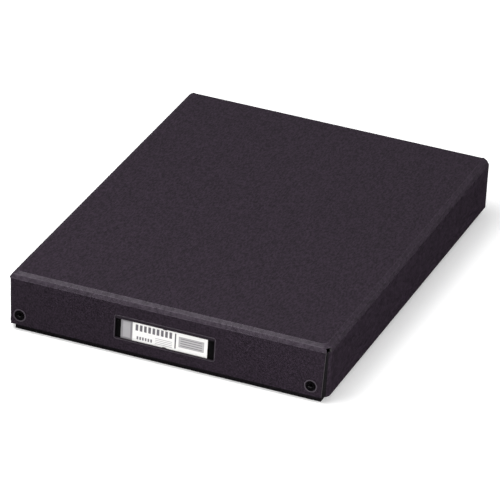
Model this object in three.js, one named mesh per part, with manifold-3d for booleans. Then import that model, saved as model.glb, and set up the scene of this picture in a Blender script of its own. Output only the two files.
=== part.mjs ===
// Covered A3 desk tray of creased, film-laminated board.
//
// Millimetres. X runs across the box, -Y is the front, +Z is up. The origin is the middle of
// the footprint, on the surface that the box stands on.

import * as THREE from 'three';
import * as BufferGeometryUtils from 'three/addons/utils/BufferGeometryUtils.js';
import Module from 'manifold-3d';

const wasm = await Module();
wasm.setup();

// ---------------------------------------------------------------- driving dimensions

const BOARD = 1.6;

const COVER_WIDTH = 324;
const COVER_DEPTH = 440;
const COVER_HEIGHT = 60;
const RIM_HEIGHT = 6.3;
const BAND_RUN = 5.8;
const BAND_CREASES = 3;

const FLAP_SHIFT = -0.9;
const FLAP_HALF_TOP = 159.2;
const FLAP_TAPER = 2;
const CORNER_FOLD = 8;
const TAB_GAP = 0.1;
const TAB_LENGTH = 30;
const RELIEF = { r: 2.4, inset: 0.8, rise: 1.5 };

const TRAY_HALF_WIDTH = 155;
const TRAY_FRONT_INSET = 4.2;
const TRAY_HEIGHT = 57;
const TRAY_TAB_LENGTH = 30;
const REAR_PANEL_HALF = 154.6;
const PANEL_GAP = 0.2;
const CREASE_GAP = 0.3;

const FITTING_SHIFT = -1.8;
const HOLDER = { width: 102.4, height: 25.2, z: 29.5, proud: 0.25, flange: 4, cutGap: 0.3, corner: 2.4 };
const HOLDER_DEPTH = { rail: 0.75, floor: 1.8, back: 2.6 };
const HOLDER_END = 1.2;
const WINDOW = { z: 28.65, half: 10.05, grooveHalf: 10.9 };
const NIB = { width: 3.6, drop: 0.7, root: 1.2 };
const CARD = { x: -2.6, width: 87.6, height: 21.4, thickness: 0.4, depth: 0.85 };

const EYELET = { flange: 6.5, barrel: 1.65, bore: 1.1, rise: 0.8, roll: 2.9, rollRise: 0.5, seat: 0.15 };
const EYELET_HOLE = 1.95;
const EYELET_SIDES = 24;
const COVER_EYELET = { x: 147.45, z: 16.7 };
const REAR_EYELET = { x: 132, z: 17 };
const TRAY_EYELET = { inset: 17, z: 30 };

// ---------------------------------------------------------------- derived places

const FRONT = -COVER_DEPTH / 2;
const REAR = COVER_DEPTH / 2;
const SIDE = COVER_WIDTH / 2;
const BAND_BOTTOM = COVER_HEIGHT - BAND_RUN;
const TAB_FACE = BOARD + TAB_GAP;
const TRAY_FRONT = FRONT + TRAY_FRONT_INSET;
const TRAY_REAR = REAR - BOARD - PANEL_GAP;
const OVERLAP = 2;
const SLIVER = 0.002;

// ---------------------------------------------------------------- colours

const colours = {
  laminate: { color: 0x2c272c, roughness: 0.62, metalness: 0 },
  trayBoard: { color: 0x242024, roughness: 0.7, metalness: 0 },
  blackPlastic: { color: 0x1b181b, roughness: 0.4, metalness: 0 },
  eyelet: { color: 0x151316, roughness: 0.25, metalness: 0.3 },
  card: { color: 0xf2f2f0, roughness: 0.7, metalness: 0 },
};

// ---------------------------------------------------------------- solids

/** A closed geometry as a solid that can be cut and joined. */
function solid(geometry) {
  const bare = geometry.index ? geometry.toNonIndexed() : geometry.clone();
  bare.deleteAttribute('normal');
  bare.deleteAttribute('uv');
  const merged = BufferGeometryUtils.mergeVertices(bare, 1e-4);
  return new wasm.Manifold(
    new wasm.Mesh({
      numProp: 3,
      vertProperties: new Float32Array(merged.attributes.position.array),
      triVerts: new Uint32Array(merged.index.array),
    }),
  );
}

/** A solid as a geometry, with the slivers between nearly level faces taken out. */
function geometryOf(body) {
  const mesh = body.simplify(SLIVER).getMesh();
  const geometry = new THREE.BufferGeometry();
  geometry.setAttribute('position', new THREE.BufferAttribute(new Float32Array(mesh.vertProperties), 3));
  geometry.setIndex(new THREE.BufferAttribute(new Uint32Array(mesh.triVerts), 1));
  geometry.computeVertexNormals();
  return geometry;
}

function box(low, high) {
  const size = high.map((value, axis) => value - low[axis]);
  const geometry = new THREE.BoxGeometry(...size);
  geometry.translate(...low.map((value, axis) => value + size[axis] / 2));
  return solid(geometry);
}

function shapeOf(points) {
  return new THREE.Shape(points.map(([x, y]) => new THREE.Vector2(x, y)));
}

function extrude(shape, length, curveSegments = 6) {
  return new THREE.ExtrudeGeometry(shape, { depth: length, bevelEnabled: false, curveSegments });
}

/** An outline in X and Z, pushed along Y from one place to another. */
function prismAlongY(outline, from, to) {
  const geometry = extrude(shapeOf(outline), to - from);
  geometry.rotateX(Math.PI / 2);
  geometry.translate(0, to, 0);
  return solid(geometry);
}

/** An outline in Y and Z, pushed along X from one place to another. */
function prismAlongX(outline, from, to) {
  const geometry = extrude(shapeOf(outline), to - from);
  geometry.applyMatrix4(new THREE.Matrix4().set(0, 0, 1, from, 1, 0, 0, 0, 0, 1, 0, 0, 0, 0, 0, 1));
  return solid(geometry);
}

/** A rod of radius r between two places on a line along `axis`. */
function rod(axis, centre, r, from, to) {
  const geometry = new THREE.CylinderGeometry(r, r, to - from, EYELET_SIDES);
  const middle = (from + to) / 2;
  if (axis === 'x') {
    geometry.rotateZ(Math.PI / 2);
    geometry.translate(middle, centre[0], centre[1]);
  } else {
    geometry.translate(centre[0], middle, centre[1]);
  }
  return solid(geometry);
}

function ball(centre, r) {
  const geometry = new THREE.SphereGeometry(r, 16, 10);
  geometry.translate(...centre);
  return solid(geometry);
}

/** A rectangle with round corners, in X and Z, as a plate between two Y places. */
function roundedPlate(centreX, centreZ, width, height, radius, fromY, toY) {
  const w = width / 2;
  const h = height / 2;
  const shape = new THREE.Shape();
  shape.moveTo(-w + radius, -h);
  shape.lineTo(w - radius, -h);
  shape.absarc(w - radius, -h + radius, radius, -Math.PI / 2, 0);
  shape.absarc(w - radius, h - radius, radius, 0, Math.PI / 2);
  shape.absarc(-w + radius, h - radius, radius, Math.PI / 2, Math.PI);
  shape.absarc(-w + radius, -h + radius, radius, Math.PI, Math.PI * 1.5);
  const geometry = extrude(shape, toY - fromY, 3);
  geometry.rotateX(Math.PI / 2);
  geometry.translate(centreX, toY, centreZ);
  return solid(geometry);
}

// ---------------------------------------------------------------- cover

/**
 * The crease points of a bend from the top panel down to a flap. Each point is [distance in
 * from the flap's face, height], offset inwards by `depth` along the mean normal of its two
 * faces, so that the board keeps its thickness round the bend.
 */
function bendPoints(depth) {
  const turn = Math.PI / 2 / BAND_CREASES;
  const facets = BAND_CREASES - 1;
  let reach = 0;
  for (let i = 1; i <= facets; i += 1) {
    reach += Math.cos(i * turn);
  }
  const facet = BAND_RUN / reach;
  const points = [];
  let inwards = BAND_RUN;
  let height = COVER_HEIGHT;
  for (let i = 0; i < BAND_CREASES; i += 1) {
    const normal = (i + 0.5) * turn;
    const mitre = depth / Math.cos(turn / 2);
    points.push([inwards + mitre * Math.sin(normal), height - mitre * Math.cos(normal)]);
    inwards -= facet * Math.cos((i + 1) * turn);
    height -= facet * Math.sin((i + 1) * turn);
  }
  return points;
}

/** The cover's section across the box, down to `bottom`, filled in. */
function crossSection(depth, bottom) {
  const right = bendPoints(depth).map(([inwards, height]) => [SIDE - inwards, height]);
  const left = right.map(([x, height]) => [-x, height]).reverse();
  return [[-SIDE + depth, bottom], [SIDE - depth, bottom], ...right.reverse(), ...left.reverse()];
}

/** The cover's section from front to rear, down to `bottom`, filled in. */
function lengthSection(depth, bottom, rear) {
  const bend = bendPoints(depth).map(([inwards, height]) => [FRONT + inwards, height]);
  return [[FRONT + depth, bottom], [rear, bottom], [rear, COVER_HEIGHT - depth], ...bend];
}

/** The vertical fold between a side flap and its tab, with the tab, on the right side. */
function cornerTab() {
  const centreX = SIDE - CORNER_FOLD;
  const centreY = FRONT + TAB_FACE + CORNER_FOLD;
  const steps = BAND_CREASES + 1;
  const outer = [];
  const inner = [];
  for (let i = 0; i <= steps; i += 1) {
    const angle = (-Math.PI / 2) * (i / steps);
    outer.push([centreX + CORNER_FOLD * Math.cos(angle), centreY + CORNER_FOLD * Math.sin(angle)]);
    const r = CORNER_FOLD - BOARD;
    inner.push([centreX + r * Math.cos(angle), centreY + r * Math.sin(angle)]);
  }
  const tabEnd = centreX - TAB_LENGTH;
  const outline = [
    [SIDE, centreY + OVERLAP],
    ...outer,
    [tabEnd, FRONT + TAB_FACE],
    [tabEnd, FRONT + TAB_FACE + BOARD],
    ...inner.reverse(),
    [SIDE - BOARD, centreY + OVERLAP],
  ];
  const geometry = extrude(shapeOf(outline.reverse()), BAND_BOTTOM - CREASE_GAP - RIM_HEIGHT);
  geometry.translate(0, 0, RIM_HEIGHT);
  return solid(geometry);
}

function mirroredX(body) {
  return body.mirror([1, 0, 0]);
}

function frontFlapOutline() {
  const bottom = FLAP_HALF_TOP - FLAP_TAPER;
  return [
    [FLAP_SHIFT - bottom, RIM_HEIGHT],
    [FLAP_SHIFT + bottom, RIM_HEIGHT],
    [FLAP_SHIFT + FLAP_HALF_TOP, BAND_BOTTOM],
    [FLAP_SHIFT + FLAP_HALF_TOP, BAND_BOTTOM + OVERLAP],
    [FLAP_SHIFT - FLAP_HALF_TOP, BAND_BOTTOM + OVERLAP],
    [FLAP_SHIFT - FLAP_HALF_TOP, BAND_BOTTOM],
  ];
}

function makeCover() {
  const foldEnd = FRONT + TAB_FACE + CORNER_FOLD;
  const far = SIDE + OVERLAP;

  const sideShell = prismAlongY(crossSection(0, RIM_HEIGHT), foldEnd, REAR).subtract(
    prismAlongY(crossSection(BOARD, RIM_HEIGHT - OVERLAP), foldEnd - OVERLAP, REAR + OVERLAP),
  );

  const cap = prismAlongY(crossSection(0, BAND_BOTTOM), FRONT - OVERLAP, foldEnd + OVERLAP).intersect(
    prismAlongX(lengthSection(0, BAND_BOTTOM, foldEnd + OVERLAP), -far, far),
  );
  const hollowBottom = BAND_BOTTOM - OVERLAP;
  const capHollow = prismAlongY(crossSection(BOARD, hollowBottom), FRONT - OVERLAP, REAR).intersect(
    prismAlongX(lengthSection(BOARD, hollowBottom, REAR), -far, far),
  );
  const frontCap = cap.subtract(capHollow);

  const frontShell = prismAlongX(lengthSection(0, RIM_HEIGHT, foldEnd), -far, far).subtract(
    prismAlongX(lengthSection(BOARD, RIM_HEIGHT - OVERLAP, REAR), -far - OVERLAP, far + OVERLAP),
  );
  const frontFlap = frontShell.intersect(prismAlongY(frontFlapOutline(), FRONT - OVERLAP, foldEnd));
  const rightTab = cornerTab();

  const belowCap = box([-far, FRONT, RIM_HEIGHT], [far, foldEnd, BAND_BOTTOM]);
  let cover = sideShell.add(frontCap).add(frontFlap.intersect(cap.add(belowCap)));
  cover = cover.add(rightTab).add(mirroredX(rightTab));

  const behindTab = FRONT + TAB_FACE + BOARD + OVERLAP;
  for (const side of [-1, 1]) {
    const corner = [side * (SIDE - RELIEF.inset), FRONT + RELIEF.inset, BAND_BOTTOM + RELIEF.rise];
    cover = cover.subtract(ball(corner, RELIEF.r));
    const centre = [FITTING_SHIFT + side * COVER_EYELET.x, COVER_EYELET.z];
    cover = cover.subtract(rod('y', centre, EYELET_HOLE, FRONT - OVERLAP, behindTab));
  }
  const { width, height, z, cutGap, corner } = HOLDER;
  const behindFlap = FRONT + BOARD + OVERLAP;
  return cover.subtract(
    roundedPlate(
      FITTING_SHIFT, z, width + 2 * cutGap, height + 2 * cutGap, corner, FRONT - OVERLAP, behindFlap,
    ),
  );
}

// ---------------------------------------------------------------- rear panel and tray

function makeRearPanel() {
  const top = COVER_HEIGHT - BOARD - CREASE_GAP;
  let panel = box([-REAR_PANEL_HALF, REAR - BOARD, 0], [REAR_PANEL_HALF, REAR, top]);
  for (const side of [-1, 1]) {
    const hole = rod('y', [side * REAR_EYELET.x, REAR_EYELET.z], EYELET_HOLE, TRAY_REAR, REAR + OVERLAP);
    panel = panel.subtract(hole);
  }
  return panel;
}

function trayEyeletPlaces() {
  return [
    { name: 'front', y: TRAY_FRONT + TRAY_EYELET.inset },
    { name: 'rear', y: TRAY_REAR - TRAY_EYELET.inset },
  ];
}

function makeTray() {
  const side = TRAY_HALF_WIDTH;
  const endWall = side - BOARD - TAB_GAP;
  let tray = box([-side, TRAY_FRONT, 0], [side, TRAY_REAR, BOARD]);
  tray = tray.add(box([-endWall, TRAY_FRONT, 0], [endWall, TRAY_FRONT + BOARD, TRAY_HEIGHT]));
  tray = tray.add(box([-endWall, TRAY_REAR - BOARD, 0], [endWall, TRAY_REAR, TRAY_HEIGHT]));
  for (const sign of [-1, 1]) {
    const wall = [sign * side, sign * (side - BOARD)].sort((a, b) => a - b);
    tray = tray.add(box([wall[0], TRAY_FRONT, 0], [wall[1], TRAY_REAR, TRAY_HEIGHT]));
    const tab = [sign * endWall, sign * (endWall - BOARD)].sort((a, b) => a - b);
    const tabBottom = BOARD + TAB_GAP;
    const frontTabEnd = TRAY_FRONT + TRAY_TAB_LENGTH;
    const rearTabEnd = TRAY_REAR - TRAY_TAB_LENGTH;
    tray = tray.add(box([tab[0], TRAY_FRONT, tabBottom], [tab[1], frontTabEnd, TRAY_HEIGHT]));
    tray = tray.add(box([tab[0], rearTabEnd, tabBottom], [tab[1], TRAY_REAR, TRAY_HEIGHT]));
  }
  const across = side + OVERLAP;
  for (const place of trayEyeletPlaces()) {
    tray = tray.subtract(rod('x', [place.y, TRAY_EYELET.z], EYELET_HOLE, -across, across));
  }
  const insideRear = TRAY_REAR - BOARD - OVERLAP;
  for (const sign of [-1, 1]) {
    const centre = [sign * REAR_EYELET.x, REAR_EYELET.z];
    tray = tray.subtract(rod('y', centre, EYELET_HOLE, insideRear, TRAY_REAR + OVERLAP));
  }
  return tray;
}

// ---------------------------------------------------------------- label holder and card

function makeLabelHolder() {
  const { width, height, z, proud, flange, corner } = HOLDER;
  const face = FRONT - proud;
  const railBack = FRONT + HOLDER_DEPTH.rail;
  const floor = FRONT + HOLDER_DEPTH.floor;
  const back = FRONT + HOLDER_DEPTH.back;
  const flangeFront = FRONT + BOARD + 2 * TAB_GAP;
  const flangeWidth = width + 2 * flange;
  const flangeHeight = height + 2 * flange;
  const pocket = [FITTING_SHIFT - width / 2 + HOLDER_END, FITTING_SHIFT + width / 2 - HOLDER_END];

  let holder = roundedPlate(FITTING_SHIFT, z, width, height, corner, face, back);
  holder = holder.add(
    roundedPlate(FITTING_SHIFT, z, flangeWidth, flangeHeight, corner, flangeFront, back),
  );
  for (const [half, front] of [[WINDOW.half, face - OVERLAP], [WINDOW.grooveHalf, railBack]]) {
    holder = holder.subtract(
      box([pocket[0], front, WINDOW.z - half], [pocket[1], floor, WINDOW.z + half]),
    );
  }
  const nibLeft = FITTING_SHIFT - NIB.width / 2;
  const nibRight = FITTING_SHIFT + NIB.width / 2;
  for (const sign of [-1, 1]) {
    const tip = WINDOW.z + sign * (WINDOW.half - NIB.drop);
    const root = WINDOW.z + sign * (WINDOW.half + NIB.root);
    const edge = [Math.min(tip, root), Math.max(tip, root)];
    holder = holder.add(box([nibLeft, face, edge[0]], [nibRight, railBack, edge[1]]));
  }
  return holder;
}

function makeLabelCard() {
  const y = FRONT + CARD.depth;
  const halfWidth = CARD.width / 2;
  const halfHeight = CARD.height / 2;
  return box(
    [CARD.x - halfWidth, y, WINDOW.z - halfHeight],
    [CARD.x + halfWidth, y + CARD.thickness, WINDOW.z + halfHeight],
  );
}

// ---------------------------------------------------------------- eyelets

/**
 * An eyelet as a solid turned about Y, with its flange on the +Y side of the board's face at
 * y = 0 and its barrel going down through `grip` of board. The flange is a flat rim round a
 * dished, open middle, and the end of the barrel is rolled over behind the board.
 */
function eyeletGeometry(grip) {
  const { flange, barrel, bore, rise, roll, rollRise, seat } = EYELET;
  const rollTop = -grip - seat;
  const rollBottom = rollTop - rollRise;
  const outline = [
    [bore, rollBottom],
    [roll - 0.3, rollBottom],
    [roll, rollTop - 0.25],
    [roll - 0.3, rollTop],
    [barrel, rollTop],
    [barrel, seat],
    [flange, seat],
    [flange, seat + rise * 0.45],
    [flange - 0.35, seat + rise * 0.9],
    [flange - 0.8, seat + rise],
    [flange - 1.3, seat + rise * 0.75],
    [4.6, seat + rise * 0.45],
    [2.6, seat + rise * 0.4],
    [1.9, seat + rise * 0.15],
    [bore, seat - 0.9],
    [bore, rollBottom],
  ];
  return new THREE.LatheGeometry(outline.map(([r, h]) => new THREE.Vector2(r, h)), EYELET_SIDES);
}

// ---------------------------------------------------------------- assembly

function material(name) {
  return new THREE.MeshStandardMaterial(colours[name]);
}

function addPiece(parent, name, geometry, colour) {
  const mesh = new THREE.Mesh(geometry, material(colour));
  mesh.name = name;
  parent.add(mesh);
  return mesh;
}

const group = new THREE.Group();
const coverGroup = new THREE.Group();
const trayGroup = new THREE.Group();
group.add(coverGroup, trayGroup);

addPiece(coverGroup, 'cover', geometryOf(makeCover()), 'laminate');
addPiece(coverGroup, 'label_holder', geometryOf(makeLabelHolder()), 'blackPlastic');
addPiece(coverGroup, 'label_card', geometryOf(makeLabelCard()), 'card');
addPiece(trayGroup, 'tray', geometryOf(makeTray()), 'trayBoard');
addPiece(trayGroup, 'rear_panel', geometryOf(makeRearPanel()), 'laminate');

const sides = [
  { name: 'left', sign: -1 },
  { name: 'right', sign: 1 },
];

for (const { name, sign } of sides) {
  const grip = TAB_FACE + BOARD;
  const eyelet = addPiece(coverGroup, `cover_eyelet_${name}`, eyeletGeometry(grip), 'eyelet');
  eyelet.rotation.z = Math.PI;
  eyelet.position.set(FITTING_SHIFT + sign * COVER_EYELET.x, FRONT, COVER_EYELET.z);
}

for (const { name, sign } of sides) {
  const grip = 2 * BOARD + PANEL_GAP;
  const eyelet = addPiece(trayGroup, `rear_eyelet_${name}`, eyeletGeometry(grip), 'eyelet');
  eyelet.position.set(sign * REAR_EYELET.x, REAR, REAR_EYELET.z);
}

for (const place of trayEyeletPlaces()) {
  for (const { name, sign } of sides) {
    const grip = 2 * BOARD + TAB_GAP;
    const node = `tray_eyelet_${place.name}_${name}`;
    const eyelet = addPiece(trayGroup, node, eyeletGeometry(grip), 'eyelet');
    eyelet.rotation.z = (-sign * Math.PI) / 2;
    eyelet.position.set(sign * TRAY_HALF_WIDTH, place.y, TRAY_EYELET.z);
  }
}

export default group;
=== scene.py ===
"""Looks of the covered A3 desk tray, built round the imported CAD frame. Metres, +Z up, -Y is the front."""

import math

import bmesh
import bpy
from mathutils import Matrix, Vector


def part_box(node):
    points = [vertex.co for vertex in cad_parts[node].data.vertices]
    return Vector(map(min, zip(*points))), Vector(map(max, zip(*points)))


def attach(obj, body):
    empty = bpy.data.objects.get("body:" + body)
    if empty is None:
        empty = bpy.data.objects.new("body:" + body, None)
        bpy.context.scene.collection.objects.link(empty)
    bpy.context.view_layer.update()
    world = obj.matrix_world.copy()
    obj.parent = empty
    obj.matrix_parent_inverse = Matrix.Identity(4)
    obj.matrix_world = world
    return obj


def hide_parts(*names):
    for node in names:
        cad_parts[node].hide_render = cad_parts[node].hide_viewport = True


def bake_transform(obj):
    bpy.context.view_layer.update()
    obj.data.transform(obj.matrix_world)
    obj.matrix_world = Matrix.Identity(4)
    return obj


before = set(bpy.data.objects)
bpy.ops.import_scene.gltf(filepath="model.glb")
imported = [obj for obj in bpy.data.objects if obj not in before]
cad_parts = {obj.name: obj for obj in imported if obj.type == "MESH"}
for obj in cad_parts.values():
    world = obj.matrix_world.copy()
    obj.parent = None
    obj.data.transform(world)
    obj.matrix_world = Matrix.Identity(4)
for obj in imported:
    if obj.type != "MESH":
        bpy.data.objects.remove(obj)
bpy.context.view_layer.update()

MM = 0.001


# ---------------------------------------------------------------- sizes

BOARD = 1.6 * MM

# A bent edge of the cover runs this far in from the flap's face and down from the top. It has rounded
# creases with flats between them, and each crease stands up in a slight bead.
BAND_RUN = 5.8 * MM
BAND_CREASES = 3
CREASE_RADIUS = 1.8 * MM
CREASE_BEAD = 0.028 * MM
CREASE_STEPS = 4

# Seen from above, the bent edge turns each front corner in an arc, whose radius changes on the way down.
CORNER_STEPS = 8
RIGHT_CORNER = {"top": 5.0 * MM, "bottom": 7.5 * MM}
LEFT_CORNER = {"top": 4.6 * MM, "bottom": 3.2 * MM}

# The three flaps don't quite meet at the right front corner. The open part is between these two steps
# of the arc, counted back from the front flap, and below this height.
NOTCH_STEPS = (3, 7)
NOTCH_TOP = 57.2 * MM

# The front flap is a little off the middle, and narrower at its bottom edge by the taper at each end.
FLAP_SHIFT = -0.9 * MM
FLAP_HALF_TOP = 159.2 * MM
FLAP_TAPER = 2 * MM

# Each side flap folds round the front corner, under the bent edge, into a tab behind the front flap.
# The first steps of the fold show past the end of the front flap.
FOLD_RADIUS = 8 * MM
FOLD_STEPS = 8
OPEN_FOLD_STEPS = 4
TAB_GAP = 0.1 * MM
TAB_LENGTH = 30 * MM
TAB_DROP = 0.4 * MM

# The hinge crease is a strip of the board that reaches this far down the rear panel and into the top panel,
# with an outer and an inner radius, and a gap beside it and below it.
HINGE_REACH = 3 * MM
HINGE_RADIUS = 1.0 * MM
INNER_RADIUS = 0.15 * MM
HINGE_STEPS = 6
HINGE_GAP = 0.1 * MM

# Cut-outs in the board, and how far a cutting shape runs on past the board's face.
WINDOW_GAP = 0.15 * MM
WINDOW_CORNER = 2.5 * MM
EYELET_HOLE = 1.95 * MM
HOLE_STEPS = 32
OUTLINE_STEPS = 5
CUT_PAST = 2 * MM

# How far hard edges are rounded, how hard they are, and the angle past which shading stays sharp.
RIM_ROUND = 0.28 * MM
PLATE_ROUND = 0.3 * MM
HOLDER_ROUND = 0.18 * MM
CARD_ROUND = 0.06 * MM
ROUND_SEGMENTS = 2
ROUND_ANGLE = math.radians(45)
SHARP_ANGLE = math.radians(32)
EYELET_SHARP_ANGLE = math.radians(50)

# In a copy of a CAD shape, points this close become one, and facets this nearly in line become one.
WELD = 0.001 * MM
FLAT_ANGLE = math.radians(1)

# The flange of the label holder, which the front flap hides, and the round corners of the part that shows.
HOLDER_FLANGE = 4 * MM
HOLDER_CORNER = 2.4 * MM

CARD_CORNER = 0.8 * MM

# An eyelet's section, in millimetres: how far it stands up from the board's face, its rolled rim, and
# the points of its dished face, its bore, its turned-over end, and its back up to the flange. A point is a
# radius and a height above the board's face, or at the turned-over end, above the eyelet's inner end.
EYELET_SIDES = 48
EYELET_RISE = 0.95
RIM_POINTS = 12
RIM_START = math.radians(-70)
RIM_TURN = math.radians(20)
RIM_MIDDLE = (6.1, 0.47)
RIM_RADII = (0.4, 0.38)
EYELET_DISH = ((4.9, 0.6), (4.2, 0.52), (3.4, 0.47), (2.9, 0.42), (2.5, 0.32), (2.15, 0.18), (1.82, -0.05))
EYELET_BORE = ((1.5, -0.45), (1.25, -1.0), (1.12, -1.7))
EYELET_END = ((1.1, 0.2), (1.2, 0.04), (1.5, 0.0), (2.4, 0.03), (2.8, 0.2), (2.72, 0.4), (1.7, 0.46))
EYELET_BACK = ((1.62, -1.2), (1.7, -0.5), (1.92, -0.02), (2.3, 0.12), (5.3, 0.1))

cover_low, cover_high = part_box("cover")
panel_low, panel_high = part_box("rear_panel")
holder_low, holder_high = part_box("label_holder")
card_low, card_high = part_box("label_card")

FRONT = cover_low.y
REAR = cover_high.y
SIDE = cover_high.x
TOP = cover_high.z
RIM = cover_low.z


# ---------------------------------------------------------------- looks

# Colours are linear. A noise has a scale and, where they aren't the usual ones, a detail and a roughness.
# A span is the part of a noise that is stretched to the full range. A bump has a height and a strength. A
# pair of colours or of shines is what the low and the high end of a noise stand for.
MIDDLE_SPAN = (0.3, 0.7)

# Film over board. The grain is drawn out along Y by its run, and its tone goes from the dark to the light
# multiple of the film's colour. The tone is a sum of three noises, each with a share.
FILM_COLOUR = (0.0210, 0.0136, 0.0223)
# The tray and the faces behind the front flap take a darker copy of the film: painted shade for where they
# sit in shadow, under the rim and behind the flap.
TRAY_SHADE_COLOUR = (0.007, 0.0055, 0.0074)
FILM_ROUGHNESS = 0.5
TRAY_ROUGHNESS = 0.56
FILM_IOR = 1.25
GRAIN_NOISE = {"scale": 620, "roughness": 0.6}
GRAIN_RUN = 0.38
GRAIN_SPAN = (0.36, 0.64)
GRAIN_SHARE = 0.70
GRAIN_DARK = 0.46
GRAIN_LIGHT = 1.54
GRAIN_BUMP = (0.16 * MM, 0.9)
MOTTLE_NOISE = {"scale": 240}
MOTTLE_SHARE = 0.18
CLOUD_NOISE = {"scale": 9, "detail": 4, "roughness": 0.6}
CLOUD_SHARE = 0.12
PIT_SCALE = 1000
PIT_DEPTH = 0.35
SMEAR_NOISE = {"scale": 26, "detail": 5, "roughness": 0.7}
SMEAR_SPAN = (0.3, 0.8)
SMEAR_SHINE = 0.04
WAVE_NOISE = {"scale": 30}
WAVE_BUMP = (0.15 * MM, 0.4)

# How much the bent edge is lightened, from 0 to 1: at the front and at the sides, on the flats between
# creases, and on each crease from the top down. The lighter colour is partly rubbed, whitened film and partly
# painted sheen, so the front, where the sheen falls, takes more than the sides. The amount is kept with the
# mesh as an attribute of this name.
WEAR_AND_SHEEN_ATTRIBUTE = "wear_and_sheen_amount"
FRONT_WEAR_AND_SHEEN = 1.0
SIDE_WEAR_AND_SHEEN = 0.27
BAND_WEAR_AND_SHEEN = 0.42
CREASE_WEAR_AND_SHEEN = (0.95, 1.0, 0.7)
WEAR_AND_SHEEN_COLOUR = (0.088, 0.073, 0.092)
WEAR_AND_SHEEN_NOISE = {"scale": 280, "detail": 3, "roughness": 0.7}
WEAR_AND_SHEEN_SPAN = (0.3, 0.62)
WEAR_AND_SHEEN_STRENGTHS = (0.2, 1.2)

# The cut edge of the board. Its noise is this many times finer upwards than sideways, which makes layers.
CORE_COLOURS = ((0.028, 0.024, 0.028), (0.06, 0.053, 0.058))
CORE_NOISE = {"scale": 900, "detail": 4, "roughness": 0.7}
CORE_LAYERS = 6.0
CORE_ROUGHNESS = 0.85
CORE_BUMP = (0.1 * MM, 0.8)

# The label holder. Painted shade turns it black between two depths behind the front flap's face, and a
# painted highlight runs along its outline for the width of a line.
HOLDER_COLOURS = ((0.0165, 0.0115, 0.0175), (0.0225, 0.0155, 0.0235))
HOLDER_SHADE_COLOUR = (0.0022, 0.0018, 0.0024)
HOLDER_SHADE_DEPTHS = (0.4 * MM, 1.0 * MM)
HOLDER_SHINES = (0.40, 0.5)
HOLDER_SPECULAR = 0.3
FLOW_NOISE = {"scale": 60, "detail": 3}
SPARK_NOISE = {"scale": 2600, "detail": 3, "roughness": 0.6}
SPARK_BUMP = (0.03 * MM, 0.6)
HIGHLIGHT_LINE = 0.9 * MM
HIGHLIGHT_BREAK_NOISE = {"scale": 300, "detail": 3}
HIGHLIGHT_BREAK_SPAN = (0.3, 0.6)
HIGHLIGHT_BREAK_STRENGTHS = (0.4, 1.0)

# The colour of the painted highlight on the rims of the holder and of the eyelets.
RIM_HIGHLIGHT_COLOUR = (0.074, 0.061, 0.076)

ENAMEL_COLOURS = ((0.001, 0.0009, 0.0011), (0.004, 0.0034, 0.0043))
ENAMEL_SHINES = (0.12, 0.26)
ENAMEL_IOR = 1.25
ENAMEL_COAT = 0.2
COAT_ROUGHNESS = 0.12
RIM_DULLING = 0.3
RIM_HIGHLIGHT_STRENGTHS = (0.55, 1.0)
MARK_NOISE = {"scale": 3500, "detail": 4, "roughness": 0.7}
MARK_SPAN = (0.35, 0.75)
PEEL_NOISE = {"scale": 900}
PEEL_BUMP = (0.04 * MM, 0.5)

PAPER_COLOURS = ((0.80, 0.79, 0.775), (0.86, 0.85, 0.835))
PAPER_SHINES = (0.5, 0.62)
FIBRE_NOISE = {"scale": 1800, "detail": 4, "roughness": 0.7}
FIBRE_BUMP = (0.02 * MM, 0.5)

# The print on the card, and how soft its edges are, as a share of the card or of one block or rule.
INKS = {
    "band_edge": (0.23, 0.22, 0.235),
    "band": (0.36, 0.35, 0.365),
    "blocks": (0.14, 0.13, 0.145),
    "small_blocks": (0.17, 0.16, 0.175),
    "fine_rules": (0.35, 0.34, 0.355),
    "divider": (0.05, 0.045, 0.055),
    "field_edge": (0.30, 0.29, 0.305),
    "field": (0.45, 0.44, 0.445),
    "field_rules": (0.14, 0.13, 0.145),
}
PATCH_SOFT_SIDES = 0.003
PATCH_SOFT_ENDS = 0.01
BLOCK_SOFT = 0.05
RULE_SOFT = 0.08


# ---------------------------------------------------------------- camera, stage and light values

CAMERA_AZIMUTH = math.radians(20.319)
CAMERA_ELEVATION = math.radians(27.53)
CAMERA_ROLL = math.radians(3.494)
CAMERA_DISTANCE = 4.828
CAMERA_TARGET = Vector((0.0032, -0.01866, 0.030))
CAMERA_LENS = 360
CAMERA_SENSOR = 36
CAMERA_CLIP_END = 50

# The floor gives off a little light of its own, as a lit backdrop does.
FLOOR_HALF = 6.0
FLOOR_COLOURS = ((0.92, 0.92, 0.925), (0.94, 0.94, 0.94))
FLOOR_NOISE = {"scale": 3}
FLOOR_ROUGHNESS = 0.9
FLOOR_SPECULAR = 0.1
FLOOR_GLOW = 0.28

# The room is dim near the horizon and brighter overhead.
ROOM_HEIGHTS = (-0.2, 0.6)
ROOM_STRENGTHS = (0.02, 0.4)
WHITE = (1.0, 1.0, 1.0)

# Each light has a place, the point that it is aimed at, its width and height, and its power in watts.
LIGHTS = {
    "overhead": ((-0.52, -0.45, 1.3), (-0.05, -0.05, 0), (1.2, 1.2), 21.5),
    "right": ((2.3, 0.4, 0.8), (0.1, 0, 0.03), (1.2, 0.8), 22.5),
    "front_right": ((0.40, -0.66, 0.10), (0.12, -0.22, 0.03), (0.2, 0.12), 1.1),
}


# ---------------------------------------------------------------- camera

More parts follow.
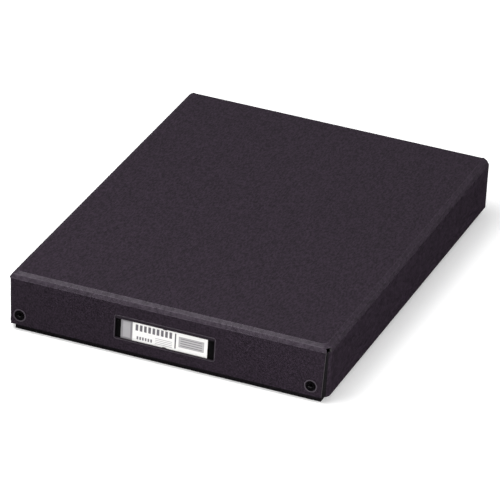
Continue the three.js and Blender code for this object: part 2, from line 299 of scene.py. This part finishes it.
def add_camera():
    """The photograph's view, worked out from where it looks from, what it looks at and its roll."""
    data = bpy.data.cameras.new("camera")
    data.lens = CAMERA_LENS
    data.sensor_width = CAMERA_SENSOR
    data.clip_end = CAMERA_CLIP_END
    camera = bpy.data.objects.new("camera", data)
    back = Vector((
        math.sin(CAMERA_AZIMUTH) * math.cos(CAMERA_ELEVATION),
        -math.cos(CAMERA_AZIMUTH) * math.cos(CAMERA_ELEVATION),
        math.sin(CAMERA_ELEVATION),
    ))
    level_right = Vector((math.cos(CAMERA_AZIMUTH), math.sin(CAMERA_AZIMUTH), 0))
    level_up = back.cross(level_right)
    right = level_right * math.cos(CAMERA_ROLL) + level_up * math.sin(CAMERA_ROLL)
    up = level_up * math.cos(CAMERA_ROLL) - level_right * math.sin(CAMERA_ROLL)
    turn = Matrix((right, up, back)).transposed().to_4x4()
    camera.matrix_world = Matrix.Translation(CAMERA_TARGET + back * CAMERA_DISTANCE) @ turn
    bpy.context.scene.collection.objects.link(camera)
    bpy.context.scene.camera = camera


# ---------------------------------------------------------------- node helpers

def rgb(r, g, b):
    return (r, g, b, 1.0)


class Nodes:
    """Builds one material's node tree with short calls."""

    def __init__(self, name):
        self.material = bpy.data.materials.new(name)
        self.material.use_nodes = True
        self.tree = self.material.node_tree
        self.shader = self.tree.nodes["Principled BSDF"]
        self.place = self.tree.nodes.new("ShaderNodeTexCoord").outputs["Object"]

    def put(self, socket, value):
        """Links a socket to another one, or sets its value."""
        if isinstance(value, bpy.types.NodeSocket):
            self.tree.links.new(value, socket)
        else:
            socket.default_value = value

    def add(self, kind, inputs=(), **settings):
        node = self.tree.nodes.new(kind)
        for key, value in settings.items():
            setattr(node, key, value)
        for key, value in dict(inputs).items():
            self.put(node.inputs[key], value)
        return node

    def math(self, operation, a, b=0.0, c=0.0):
        return self.add("ShaderNodeMath", {0: a, 1: b, 2: c}, operation=operation).outputs[0]

    def stretched(self, x, y, z):
        """The object's own coordinates, scaled by axis."""
        return self.add("ShaderNodeMapping", {"Vector": self.place, "Scale": (x, y, z)}).outputs[0]

    def axes(self):
        """The object's own coordinates, as one output for each axis."""
        return self.add("ShaderNodeSeparateXYZ", {0: self.place}).outputs

    def attribute(self, name):
        return self.add("ShaderNodeAttribute", attribute_name=name).outputs["Fac"]

    def noise(self, scale, detail=2.0, roughness=0.5, place=None):
        inputs = {"Vector": place or self.place, "Scale": scale, "Detail": detail, "Roughness": roughness}
        return self.add("ShaderNodeTexNoise", inputs).outputs["Fac"]

    def cells(self, scale):
        inputs = {"Vector": self.place, "Scale": scale}
        return self.add("ShaderNodeTexVoronoi", inputs, feature="F1").outputs["Distance"]

    def ramp(self, value, low, high, to_low=0.0, to_high=1.0):
        inputs = {"Value": value, "From Min": low, "From Max": high, "To Min": to_low, "To Max": to_high}
        return self.add("ShaderNodeMapRange", inputs).outputs["Result"]

    def mix(self, factor, a, b):
        node = self.add("ShaderNodeMix", data_type="RGBA")
        self.put(node.inputs["Factor"], factor)
        self.put(node.inputs["A"], a)
        self.put(node.inputs["B"], b)
        return node.outputs["Result"]

    def bump(self, height, distance, strength, normal=None):
        inputs = {"Height": height, "Distance": distance, "Strength": strength}
        if normal is not None:
            inputs["Normal"] = normal
        return self.add("ShaderNodeBump", inputs).outputs["Normal"]

    def finish(self, **inputs):
        """Sets the shader's own inputs and gives the material."""
        for key, value in inputs.items():
            self.put(self.shader.inputs[key.replace("_", " ")], value)
        return self.material


# ---------------------------------------------------------------- materials

def laminate_material(name, colour, roughness):
    """Matt film over board: fine embossed grain, faint clouds, and rubbed patches and whitened creases whose
    lighter colour is partly painted sheen.
    """
    n = Nodes(name)
    pits = n.cells(PIT_SCALE)
    lengthways = n.stretched(1.0, GRAIN_RUN, 1.0)
    grain = n.noise(**GRAIN_NOISE, place=lengthways)
    mottle = n.noise(**MOTTLE_NOISE, place=lengthways)
    relief = n.math("ADD", n.math("MULTIPLY", pits, PIT_DEPTH), grain)
    clouds = n.math("MULTIPLY", n.noise(**CLOUD_NOISE), CLOUD_SHARE)
    speckle = n.math("MULTIPLY", n.ramp(grain, *GRAIN_SPAN), GRAIN_SHARE)
    blotch = n.math("MULTIPLY", n.ramp(mottle, *GRAIN_SPAN), MOTTLE_SHARE)
    tone = n.math("ADD", clouds, n.math("ADD", speckle, blotch))
    dark = rgb(*(GRAIN_DARK * c for c in colour))
    light = rgb(*(GRAIN_LIGHT * c for c in colour))
    film = n.mix(tone, dark, light)
    # The bent edge is lighter where the mesh asks: partly rubbed film, partly painted sheen.
    patches = n.ramp(n.noise(**WEAR_AND_SHEEN_NOISE), *WEAR_AND_SHEEN_SPAN, *WEAR_AND_SHEEN_STRENGTHS)
    wear_and_sheen_mask = n.math("MULTIPLY", n.attribute(WEAR_AND_SHEEN_ATTRIBUTE), patches)
    smears = n.noise(**SMEAR_NOISE)
    wave = n.bump(n.noise(**WAVE_NOISE), *WAVE_BUMP)
    return n.finish(
        Base_Color=n.mix(wear_and_sheen_mask, film, rgb(*WEAR_AND_SHEEN_COLOUR)),
        Roughness=n.ramp(smears, *SMEAR_SPAN, roughness + SMEAR_SHINE, roughness - SMEAR_SHINE),
        Normal=n.bump(relief, *GRAIN_BUMP, wave),
        IOR=FILM_IOR,
    )


def core_material():
    """The cut edge of the board: grey fibres in layers."""
    n = Nodes("board_core")
    layers = n.noise(**CORE_NOISE, place=n.stretched(1.0, 1.0, CORE_LAYERS))
    dark, light = CORE_COLOURS
    return n.finish(
        Base_Color=n.mix(n.ramp(layers, *MIDDLE_SPAN), rgb(*dark), rgb(*light)),
        Roughness=CORE_ROUGHNESS,
        Normal=n.bump(layers, *CORE_BUMP),
    )


def past_straight(n, place, low, high):
    """How far a place is past the straight part of a side of the holder's outline, and 0 along it."""
    off = n.math("ABSOLUTE", n.math("SUBTRACT", place, (low + high) / 2))
    straight = (high - low) / 2 - HOLDER_FLANGE - HOLDER_CORNER
    return n.math("MAXIMUM", n.math("SUBTRACT", off, straight), 0.0)


def plastic_material():
    """Satin black moulding with a faint spark-eroded texture, a painted highlight along its outline and
    painted shade, black, in its depth.
    """
    n = Nodes("holder_plastic")
    texture = n.noise(**SPARK_NOISE)
    flow = n.noise(**FLOW_NOISE)
    dark, light = HOLDER_COLOURS
    colour = n.mix(flow, rgb(*dark), rgb(*light))
    place = n.axes()
    along = past_straight(n, place["X"], holder_low.x, holder_high.x)
    up = past_straight(n, place["Z"], holder_low.z, holder_high.z)
    reach = n.math("SQRT", n.math("ADD", n.math("POWER", along, 2), n.math("POWER", up, 2)))
    # A painted highlight along the outline, broken up by noise.
    outline = n.ramp(reach, HOLDER_CORNER - HIGHLIGHT_LINE, HOLDER_CORNER - HIGHLIGHT_LINE / 2)
    highlight_breaks = n.ramp(n.noise(**HIGHLIGHT_BREAK_NOISE), *HIGHLIGHT_BREAK_SPAN, *HIGHLIGHT_BREAK_STRENGTHS)
    lit_and_rubbed = n.mix(n.math("MULTIPLY", outline, highlight_breaks), colour, rgb(*RIM_HIGHLIGHT_COLOUR))
    # Painted shade: black in the recess behind the face.
    painted_shade_depth = n.ramp(place["Y"], FRONT + HOLDER_SHADE_DEPTHS[0], FRONT + HOLDER_SHADE_DEPTHS[1])
    return n.finish(
        Base_Color=n.mix(painted_shade_depth, lit_and_rubbed, rgb(*HOLDER_SHADE_COLOUR)),
        Roughness=n.ramp(flow, *MIDDLE_SPAN, *HOLDER_SHINES),
        Specular_IOR_Level=HOLDER_SPECULAR,
        Normal=n.bump(texture, *SPARK_BUMP),
    )


def enamel_material():
    """Black gloss enamel on pressed metal, with orange peel and handling marks, dull on the rim, where a
    lighter colour is a painted highlight.
    """
    n = Nodes("eyelet_enamel")
    peel = n.noise(**PEEL_NOISE)
    marks = n.noise(**MARK_NOISE)
    rim = n.attribute(WEAR_AND_SHEEN_ATTRIBUTE)
    # The rim's lighter colour is a painted highlight.
    lit_and_rubbed = n.math("MULTIPLY", rim, n.ramp(marks, *HIGHLIGHT_BREAK_SPAN, *RIM_HIGHLIGHT_STRENGTHS))
    dark, light = ENAMEL_COLOURS
    gloss = n.mix(marks, rgb(*dark), rgb(*light))
    shine = n.ramp(marks, *MARK_SPAN, *ENAMEL_SHINES)
    return n.finish(
        Base_Color=n.mix(lit_and_rubbed, gloss, rgb(*RIM_HIGHLIGHT_COLOUR)),
        Roughness=n.math("ADD", shine, n.math("MULTIPLY", rim, RIM_DULLING)),
        Normal=n.bump(peel, *PEEL_BUMP),
        IOR=ENAMEL_IOR,
        Coat_Weight=n.math("MULTIPLY_ADD", rim, -ENAMEL_COAT, ENAMEL_COAT),
        Coat_Roughness=COAT_ROUGHNESS,
    )


def card_material():
    """White coated card, printed with a plain band, blocks in place of words, a rule and a write-in field.
    Places on the card are shares of its width and of its height."""
    n = Nodes("card_print")
    place = n.axes()
    across = n.ramp(place["X"], card_low.x, card_high.x)
    up = n.ramp(place["Z"], card_low.z, card_high.z)

    def between(value, low, high, soft):
        """One from low to high and nothing outside, with soft ends."""
        rise = n.ramp(value, low - soft, low + soft)
        fall = n.ramp(value, high + soft, high - soft)
        return n.math("MULTIPLY", rise, fall)

    def patch(left, right, low, high):
        wide = between(across, left, right, PATCH_SOFT_SIDES)
        return n.math("MULTIPLY", wide, between(up, low, high, PATCH_SOFT_ENDS))

    def row(left, right, low, high, count, filled):
        """A row of blocks, each filling this share of its room."""
        share = n.math("FRACT", n.ramp(across, left, right, 0, count))
        blocks = between(share, (1 - filled) / 2, (1 + filled) / 2, BLOCK_SOFT)
        return n.math("MULTIPLY", patch(left, right, low, high), blocks)

    def lines(left, right, low, high, count, filled):
        """Rules one above another, each filling this share of its room."""
        share = n.math("FRACT", n.ramp(up, low, high, 0, count))
        rules = between(share, (1 - filled) / 2, (1 + filled) / 2, RULE_SOFT)
        return n.math("MULTIPLY", patch(left, right, low, high), rules)

    fibres = n.noise(**FIBRE_NOISE)
    dark, light = PAPER_COLOURS
    colour = n.mix(fibres, rgb(*dark), rgb(*light))
    printed = (
        (patch(-0.1, 0.135, -0.1, 1.1), "band_edge"),
        (patch(0.025, 0.11, 0.12, 0.88), "band"),
        (row(0.16, 0.60, 0.56, 0.86, 9, 0.62), "blocks"),
        (row(0.18, 0.37, 0.14, 0.29, 6, 0.6), "small_blocks"),
        (lines(0.40, 0.595, 0.10, 0.44, 4, 0.32), "fine_rules"),
        (patch(0.624, 0.638, 0.13, 0.87), "divider"),
        (patch(0.67, 0.96, 0.25, 0.76), "field_edge"),
        (patch(0.676, 0.954, 0.28, 0.73), "field"),
        (lines(0.69, 0.94, 0.28, 0.73, 4, 0.3), "field_rules"),
    )
    for mask, ink in printed:
        colour = n.mix(mask, colour, rgb(*INKS[ink]))
    return n.finish(
        Base_Color=colour,
        Roughness=n.ramp(fibres, *MIDDLE_SPAN, *PAPER_SHINES),
        Normal=n.bump(fibres, *FIBRE_BUMP),
    )


def floor_material():
    """Matt pale paint with faint clouds."""
    n = Nodes("floor_paint")
    dark, light = FLOOR_COLOURS
    return n.finish(
        Base_Color=n.mix(n.noise(**FLOOR_NOISE), rgb(*dark), rgb(*light)),
        Roughness=FLOOR_ROUGHNESS,
        Specular_IOR_Level=FLOOR_SPECULAR,
        Emission_Color=rgb(*WHITE),
        Emission_Strength=FLOOR_GLOW,
    )


# ---------------------------------------------------------------- mesh helpers

def mesh_object(name, vertices, faces, materials):
    mesh = bpy.data.meshes.new(name)
    mesh.from_pydata([tuple(v) for v in vertices], [], faces)
    mesh.update()
    piece = bpy.data.objects.new(name, mesh)
    for material in materials:
        mesh.materials.append(material)
    bpy.context.scene.collection.objects.link(piece)
    return piece


def bake(piece):
    """Turns the piece's modifiers into its mesh."""
    graph = bpy.context.evaluated_depsgraph_get()
    baked = bpy.data.meshes.new_from_object(piece.evaluated_get(graph))
    piece.modifiers.clear()
    old = piece.data
    piece.data = baked
    bpy.data.meshes.remove(old)


def set_smooth(piece, sharp_angle=SHARP_ANGLE):
    """Shades the piece smooth, apart from edges sharper than the angle."""
    for face in piece.data.polygons:
        face.use_smooth = True
    piece.data.set_sharp_from_angle(angle=sharp_angle)


def round_edges(piece, width):
    """Rounds every hard edge, and shades the flats flat up to the rounding."""
    bevel = piece.modifiers.new("rounding", "BEVEL")
    bevel.width = width
    bevel.segments = ROUND_SEGMENTS
    bevel.limit_method = "ANGLE"
    bevel.angle_limit = ROUND_ANGLE
    bevel.use_clamp_overlap = True
    bevel.miter_outer = "MITER_ARC"
    bake(piece)
    set_smooth(piece)
    weight = piece.modifiers.new("normals", "WEIGHTED_NORMAL")
    weight.keep_sharp = True
    bake(piece)


def face_outwards(piece, first_normal=None):
    """Makes the faces agree on which side is out. An open skin also says how its first face looks."""
    shape = bmesh.new()
    shape.from_mesh(piece.data)
    bmesh.ops.recalc_face_normals(shape, faces=shape.faces)
    shape.faces.ensure_lookup_table()
    if first_normal is not None and shape.faces[0].normal.dot(first_normal) < 0:
        bmesh.ops.reverse_faces(shape, faces=shape.faces)
    shape.to_mesh(piece.data)
    shape.free()


def keep_wear_and_sheen(piece, wear_and_sheen_amount):
    """Stores how much each point of the piece is lightened, for wear and painted highlight, for its material.
    """
    piece.data.attributes.new(WEAR_AND_SHEEN_ATTRIBUTE, "FLOAT", "POINT").data.foreach_set("value", wear_and_sheen_amount)


def block(low, high):
    """The corners and faces of a box."""
    corners = [(x, y, z) for z in (low[2], high[2]) for y in (low[1], high[1]) for x in (low[0], high[0])]
    faces = [(0, 2, 3, 1), (4, 5, 7, 6), (0, 1, 5, 4), (2, 6, 7, 3), (0, 4, 6, 2), (1, 3, 7, 5)]
    return corners, faces


def prism(outline, from_y, to_y):
    """The corners and faces of an outline in X and Z, drawn out between two Y places."""
    count = len(outline)
    corners = [(x, y, z) for y in (from_y, to_y) for x, z in outline]
    sides = [(i, (i + 1) % count, count + (i + 1) % count, count + i) for i in range(count)]
    return corners, [tuple(reversed(range(count))), tuple(range(count, 2 * count)), *sides]


def circle(x, z, r):
    turns = [2 * math.pi * i / HOLE_STEPS for i in range(HOLE_STEPS)]
    return [(x + r * math.cos(t), z + r * math.sin(t)) for t in turns]


def rounded_outline(low_x, high_x, low_z, high_z, r):
    """A rectangle in X and Z with round corners, from the right end of its top edge round to the left."""
    centres = (
        (high_x - r, high_z - r),
        (low_x + r, high_z - r),
        (low_x + r, low_z + r),
        (high_x - r, low_z + r),
    )
    outline = []
    for quarter, (x, z) in enumerate(centres):
        for i in range(OUTLINE_STEPS + 1):
            turn = math.pi / 2 * (quarter + i / OUTLINE_STEPS)
            outline.append((x + r * math.cos(turn), z + r * math.sin(turn)))
    return outline


def cut(piece, shapes):
    """Takes closed shapes, given as corners and faces, out of the piece. The cuts take its last material."""
    for corners, faces in shapes:
        cutter = mesh_object("cutter", corners, faces, piece.data.materials[-1:])
        face_outwards(cutter)
        difference = piece.modifiers.new("cut", "BOOLEAN")
        difference.operation = "DIFFERENCE"
        difference.solver = "EXACT"
        difference.object = cutter
        difference.material_mode = "TRANSFER"
        bake(piece)
        bpy.data.objects.remove(cutter)


def cad_copy(node, name, material, width):
    """The CAD node's own shape, with every hard edge rounded."""
    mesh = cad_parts[node].data.copy()
    mesh.materials.clear()
    mesh.materials.append(material)
    shape = bmesh.new()
    shape.from_mesh(mesh)
    bmesh.ops.remove_doubles(shape, verts=shape.verts, dist=WELD)
    bmesh.ops.dissolve_limit(
        shape, angle_limit=FLAT_ANGLE, verts=shape.verts, edges=shape.edges, delimit={"NORMAL"},
    )
    shape.to_mesh(mesh)
    shape.free()
    piece = bpy.data.objects.new(name, mesh)
    bpy.context.scene.collection.objects.link(piece)
    round_edges(piece, width)
    return piece


def middle(node):
    """The middle of a CAD node's box."""
    low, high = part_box(node)
    return (low + high) / 2


# ---------------------------------------------------------------- cover board

class Skin:
    """The points and faces of the cover's outside, as they are added."""

    def __init__(self):
        self.points = []
        self.faces = []

    def add(self, x, y, z):
        self.points.append((x, y, z))
        return len(self.points) - 1

    def height(self, point):
        return self.points[point][2]


def bend_profile():
    """Points [distance in from the flap's face, height] round the three creases of a bend, each
    crease rounded and raised in a slight bead."""
    turn = math.pi / 2 / BAND_CREASES
    facet = BAND_RUN / sum(math.cos(i * turn) for i in range(1, BAND_CREASES))
    points = []
    inwards = BAND_RUN
    height = TOP
    for i in range(BAND_CREASES):
        reach = CREASE_RADIUS * math.tan(turn / 2)
        before = Vector((math.cos(i * turn), math.sin(i * turn)))
        centre = Vector((inwards, height)) + before * reach
        centre += Vector((before.y, -before.x)) * CREASE_RADIUS
        for k in range(CREASE_STEPS + 1):
            share = k / CREASE_STEPS
            angle = (i + share) * turn
            r = CREASE_RADIUS + CREASE_BEAD * math.sin(math.pi * share) ** 2
            points.append((centre.x - r * math.sin(angle), centre.y + r * math.cos(angle)))
        inwards -= facet * math.cos((i + 1) * turn)
        height -= facet * math.sin((i + 1) * turn)
    return points


def ring_path(inset, share):
    """One level of the cover's bend, from the rear right round the front to the rear left. The share is how
    far down the bend it is."""
    right = RIGHT_CORNER["top"] + (RIGHT_CORNER["bottom"] - RIGHT_CORNER["top"]) * share
    left = LEFT_CORNER["top"] + (LEFT_CORNER["bottom"] - LEFT_CORNER["top"]) * share
    x = SIDE - inset
    y = FRONT + inset
    turns = [math.pi / 2 * i / CORNER_STEPS for i in range(CORNER_STEPS + 1)]
    path = [(x, REAR)]
    path += [(x - right + right * math.cos(t), y + right - right * math.sin(t)) for t in turns]
    path += [(-x + left - left * math.sin(t), y + left - left * math.cos(t)) for t in turns]
    path.append((-x, REAR))
    return path


def add_bends(skin):
    """The top panel and the bent edges round it, open at the notch. Gives the points of each level."""
    profile = bend_profile()
    rings = []
    for level, (inset, height) in enumerate(profile):
        path = ring_path(inset, level / (len(profile) - 1))
        rings.append([skin.add(x, y, height) for x, y in path])
    skin.faces.append(tuple(rings[0]))
    arc_end = 1 + CORNER_STEPS
    notch = range(arc_end - NOTCH_STEPS[1], arc_end - NOTCH_STEPS[0])
    for upper, lower in zip(rings, rings[1:]):
        below_top = skin.height(lower[0]) < NOTCH_TOP
        for i in range(len(upper) - 1):
            if below_top and i in notch:
                continue
            skin.faces.append((upper[i], lower[i], lower[i + 1], upper[i + 1]))
    return rings


def add_front_flap(skin, edge):
    """The front flap, which hangs from the front of the bend's lowest level."""
    band_end = skin.height(edge[0])
    bottom_half = FLAP_HALF_TOP - FLAP_TAPER
    top_right = skin.add(FLAP_SHIFT + FLAP_HALF_TOP, FRONT, band_end)
    top_left = skin.add(FLAP_SHIFT - FLAP_HALF_TOP, FRONT, band_end)
    low_right = skin.add(FLAP_SHIFT + bottom_half, FRONT, RIM)
    low_left = skin.add(FLAP_SHIFT - bottom_half, FRONT, RIM)
    arc_end = 1 + CORNER_STEPS
    skin.faces.append((edge[arc_end], top_right, low_right, low_left, top_left, edge[arc_end + 1]))


def add_side_flap(skin, edge, sign):
    """A side flap, the fold round the front corner and the tab behind the front flap. The edge starts at
    the rear of this side. Gives the faces that the front flap hides."""
    band_end = skin.height(edge[0])
    tab_top = band_end - TAB_DROP
    tab_y = FRONT + BOARD + TAB_GAP
    fold_y = tab_y + FOLD_RADIUS
    low_rear = skin.add(sign * SIDE, REAR, RIM)
    fold_top = skin.add(sign * SIDE, fold_y, band_end)
    fold_low = skin.add(sign * SIDE, fold_y, RIM)
    column = (skin.add(sign * SIDE, fold_y, tab_top), fold_low)
    side = (edge[0], low_rear, fold_low, column[0], fold_top, edge[1])
    skin.faces.append(side[::sign])
    outline = []
    for i in range(1, FOLD_STEPS + 1):
        turn = math.pi / 2 * i / FOLD_STEPS
        inset = FOLD_RADIUS - FOLD_RADIUS * math.cos(turn)
        outline.append((sign * (SIDE - inset), fold_y - FOLD_RADIUS * math.sin(turn)))
    outline.append((sign * (SIDE - FOLD_RADIUS - TAB_LENGTH), tab_y))
    hidden = []
    for step, (x, y) in enumerate(outline):
        if step >= OPEN_FOLD_STEPS:
            hidden.append(len(skin.faces))
        following = (skin.add(x, y, tab_top), skin.add(x, y, RIM))
        skin.faces.append((*column, *following[::-1])[::sign])
        column = following
    return hidden


def wear_and_sheen_of_bend(rings, count):
    """How much each of the cover's points is lightened, for wear and painted sheen. Only the bent edge is,
    most of all on its creases.
    """
    wear_and_sheen_amount = [0.0] * count
    for level, ring in enumerate(rings):
        number, step = divmod(level, CREASE_STEPS + 1)
        crease = math.sin(math.pi * step / CREASE_STEPS) ** 2
        if 0 < level < len(rings) - 1:
            crease = BAND_WEAR_AND_SHEEN + (1 - BAND_WEAR_AND_SHEEN) * crease
        for place, point in enumerate(ring):
            # More at the front, where the sheen falls, than at the sides: painted sheen.
            to_front = min(place - 1, len(ring) - 2 - place) / CORNER_STEPS
            lit_and_rubbed = SIDE_WEAR_AND_SHEEN + (FRONT_WEAR_AND_SHEEN - SIDE_WEAR_AND_SHEEN) * min(max(to_front, 0), 1)
            wear_and_sheen_amount[point] = lit_and_rubbed * CREASE_WEAR_AND_SHEEN[number] * crease
    return wear_and_sheen_amount


def make_cover(laminate, core, hidden_shade_film):
    """The cover's board: top panel, bends, front flap, side flaps, folds and tabs. Each film is followed by
    the cut edge's material, for the rim of its faces."""
    skin = Skin()
    rings = add_bends(skin)
    edge = rings[-1]
    add_front_flap(skin, edge)
    hidden = add_side_flap(skin, edge, 1) + add_side_flap(skin, edge[::-1], -1)
    piece = mesh_object("cover_board", skin.points, skin.faces, [laminate, core, hidden_shade_film, core])
    # The faces that the front flap hides take the darker film, painted shade for the gap behind the flap.
    for face in hidden:
        piece.data.polygons[face].material_index = 2
    keep_wear_and_sheen(piece, wear_and_sheen_of_bend(rings, len(skin.points)))
    face_outwards(piece, Vector((0, 0, 1)))
    thick = piece.modifiers.new("board", "SOLIDIFY")
    thick.thickness = BOARD
    thick.offset = -1
    thick.use_even_offset = True
    thick.use_rim = True
    thick.material_offset_rim = 1
    bake(piece)
    return piece


def cover_cuts():
    """Shapes to take out of the cover: the holder's window, the eyelet holes and the hinge crease's place."""
    window = rounded_outline(
        holder_low.x + HOLDER_FLANGE - WINDOW_GAP,
        holder_high.x - HOLDER_FLANGE + WINDOW_GAP,
        holder_low.z + HOLDER_FLANGE - WINDOW_GAP,
        holder_high.z - HOLDER_FLANGE + WINDOW_GAP,
        WINDOW_CORNER,
    )
    shapes = [prism(window, FRONT - CUT_PAST, FRONT + BOARD + CUT_PAST)]
    for side in ("left", "right"):
        x, _, z = middle(f"cover_eyelet_{side}")
        shapes.append(prism(circle(x, z, EYELET_HOLE), FRONT - CUT_PAST, FRONT + 2 * BOARD + CUT_PAST))
    half = panel_high.x + HINGE_GAP
    low = (-half, REAR - HINGE_REACH, TOP - BOARD - CUT_PAST)
    shapes.append(block(low, (half, REAR + CUT_PAST, TOP + CUT_PAST)))
    return shapes


# ---------------------------------------------------------------- rear panel and hinge crease

def make_rear_board(laminate, core):
    """The rear panel up to the hinge crease, with its two eyelet holes."""
    top = TOP - HINGE_REACH - HINGE_GAP
    corners, faces = block(panel_low, (panel_high.x, panel_high.y, top))
    piece = mesh_object("rear_board", corners, faces, [laminate, core])
    face_outwards(piece)
    shapes = []
    for side in ("left", "right"):
        x, _, z = middle(f"rear_eyelet_{side}")
        shapes.append(prism(circle(x, z, EYELET_HOLE), panel_low.y - CUT_PAST, panel_high.y + CUT_PAST))
    cut(piece, shapes)
    round_edges(piece, PLATE_ROUND)
    return piece


def make_hinge_crease(laminate):
    """The strip of board that bends at the top rear edge, from the rear panel over to the top panel."""
    outer = [(REAR, TOP - HINGE_REACH)]
    inner = [(REAR - BOARD, TOP - HINGE_REACH)]
    arcs = ((outer, HINGE_RADIUS, HINGE_RADIUS), (inner, BOARD + INNER_RADIUS, INNER_RADIUS))
    for i in range(HINGE_STEPS + 1):
        turn = math.pi / 2 * i / HINGE_STEPS
        for points, inset, r in arcs:
            points.append((REAR - inset + r * math.cos(turn), TOP - inset + r * math.sin(turn)))
    outer.append((REAR - HINGE_REACH, TOP))
    inner.append((REAR - HINGE_REACH, TOP - BOARD))
    section = outer + inner[::-1]
    count = len(section)
    half = panel_high.x
    vertices = [(x, y, z) for x in (half, -half) for y, z in section]
    faces = [(i, (i + 1) % count, count + (i + 1) % count, count + i) for i in range(count)]
    for i in range(len(outer) - 1):
        cap = (i, i + 1, count - 2 - i, count - 1 - i)
        faces += [cap[::-1], tuple(count + k for k in cap)]
    piece = mesh_object("hinge_crease", vertices, faces, [laminate])
    face_outwards(piece)
    set_smooth(piece)
    return piece


# ---------------------------------------------------------------- eyelets

def eyelet_profile(depth):
    """Radius and height, in millimetres, round the section of an eyelet that ends this deep in the board."""
    points = []
    for i in range(RIM_POINTS):
        turn = RIM_START + i * RIM_TURN
        points.append((
            RIM_MIDDLE[0] + RIM_RADII[0] * math.cos(turn),
            RIM_MIDDLE[1] + RIM_RADII[1] * math.sin(turn),
        ))
    points += [*EYELET_DISH, *EYELET_BORE]
    points += [(r, h - depth) for r, h in EYELET_END]
    points += EYELET_BACK
    return points


def make_eyelet(node, outwards, enamel):
    """An eyelet turned about its own axis, with its flange on the board's face and facing outwards."""
    low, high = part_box(node)
    axis = Vector(outwards)
    painted_shade_depth = abs((high - low).dot(axis))
    face = middle(node) + axis * (painted_shade_depth / 2 - EYELET_RISE * MM)
    profile = eyelet_profile(painted_shade_depth / MM - EYELET_RISE)
    across = axis.orthogonal().normalized()
    along = axis.cross(across)
    vertices = []
    for i in range(EYELET_SIDES):
        turn = 2 * math.pi * i / EYELET_SIDES
        spoke = across * math.cos(turn) + along * math.sin(turn)
        vertices += [face + spoke * (r * MM) + axis * (h * MM) for r, h in profile]
    count = len(profile)
    faces = []
    for i in range(EYELET_SIDES):
        near = i * count
        far = (i + 1) % EYELET_SIDES * count
        faces += [(near + k, far + k, far + (k + 1) % count, near + (k + 1) % count) for k in range(count)]
    piece = mesh_object(f"{node}_enamelled", vertices, faces, [enamel])
    # The rolled rim's points take the lighter colour, a painted highlight all round the rim.
    keep_wear_and_sheen(piece, [1.0 if k < RIM_POINTS else 0.0 for k in range(count)] * EYELET_SIDES)
    face_outwards(piece)
    set_smooth(piece, EYELET_SHARP_ANGLE)
    return piece


# ---------------------------------------------------------------- label card

def make_card(paper):
    """The loose card, with its corners a little rounded."""
    outline = rounded_outline(card_low.x, card_high.x, card_low.z, card_high.z, CARD_CORNER)
    corners, faces = prism(outline, card_low.y, card_high.y)
    piece = mesh_object("printed_card", corners, faces, [paper])
    face_outwards(piece)
    round_edges(piece, CARD_ROUND)
    return piece


# ---------------------------------------------------------------- stage and light

def make_floor():
    """A wide pale floor, which the glossy parts don't mirror."""
    corners = [(-FLOOR_HALF, -FLOOR_HALF, 0), (FLOOR_HALF, -FLOOR_HALF, 0)]
    corners += [(FLOOR_HALF, FLOOR_HALF, 0), (-FLOOR_HALF, FLOOR_HALF, 0)]
    floor = mesh_object("floor", corners, [(0, 1, 2, 3)], [floor_material()])
    floor.visible_glossy = False


def add_light(name, place, aim, size, power):
    """A rectangular light at a place, turned towards what it is aimed at."""
    data = bpy.data.lights.new(name, "AREA")
    data.shape = "RECTANGLE"
    data.size, data.size_y = size
    data.energy = power
    light = bpy.data.objects.new(name, data)
    light.location = place
    light.rotation_euler = (Vector(aim) - Vector(place)).to_track_quat("-Z", "Y").to_euler()
    bpy.context.scene.collection.objects.link(light)


def light_room():
    """White light from all round, whose strength follows the height that it comes from."""
    world = bpy.data.worlds.new("studio")
    world.use_nodes = True
    nodes = world.node_tree.nodes
    links = world.node_tree.links
    coordinate = nodes.new("ShaderNodeTexCoord")
    split = nodes.new("ShaderNodeSeparateXYZ")
    links.new(coordinate.outputs["Generated"], split.inputs[0])
    height = nodes.new("ShaderNodeMapRange")
    links.new(split.outputs["Z"], height.inputs["Value"])
    height.inputs["From Min"].default_value, height.inputs["From Max"].default_value = ROOM_HEIGHTS
    height.inputs["To Min"].default_value, height.inputs["To Max"].default_value = ROOM_STRENGTHS
    background = nodes["Background"]
    background.inputs["Color"].default_value = rgb(*WHITE)
    links.new(height.outputs["Result"], background.inputs["Strength"])
    bpy.context.scene.world = world


def light_stage():
    """The room's light and the lamps, shown without a film look."""
    light_room()
    for name, (place, aim, size, power) in LIGHTS.items():
        add_light(name, place, aim, size, power)
    bpy.context.scene.view_settings.view_transform = "Standard"


# ---------------------------------------------------------------- assembly

add_camera()

laminate = laminate_material("laminate", FILM_COLOUR, FILM_ROUGHNESS)
shade_darkened_film = laminate_material("shade_darkened_film", TRAY_SHADE_COLOUR, TRAY_ROUGHNESS)
core = core_material()
plastic = plastic_material()
enamel = enamel_material()

cover_board = make_cover(laminate, core, shade_darkened_film)
cut(cover_board, cover_cuts())
round_edges(cover_board, RIM_ROUND)
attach(cover_board, "cover")
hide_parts("cover")

rear_board = make_rear_board(laminate, core)
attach(rear_board, "tray")
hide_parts("rear_panel")

hinge_crease = make_hinge_crease(laminate)
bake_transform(hinge_crease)

tray = cad_copy("tray", "tray_board", shade_darkened_film, PLATE_ROUND)
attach(tray, "tray")
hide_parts("tray")

holder = cad_copy("label_holder", "label_holder_moulding", plastic, HOLDER_ROUND)
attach(holder, "cover")
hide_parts("label_holder")

card = make_card(card_material())
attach(card, "label_card")
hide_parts("label_card")

EYELETS = [(f"cover_eyelet_{side}", (0, -1, 0), "cover") for side in ("left", "right")]
EYELETS += [(f"rear_eyelet_{side}", (0, 1, 0), "tray") for side in ("left", "right")]
for end in ("front", "rear"):
    EYELETS.append((f"tray_eyelet_{end}_left", (-1, 0, 0), "tray"))
    EYELETS.append((f"tray_eyelet_{end}_right", (1, 0, 0), "tray"))
for node, outwards, body in EYELETS:
    eyelet = make_eyelet(node, outwards, enamel)
    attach(eyelet, body)
    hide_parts(node)

make_floor()
light_stage()
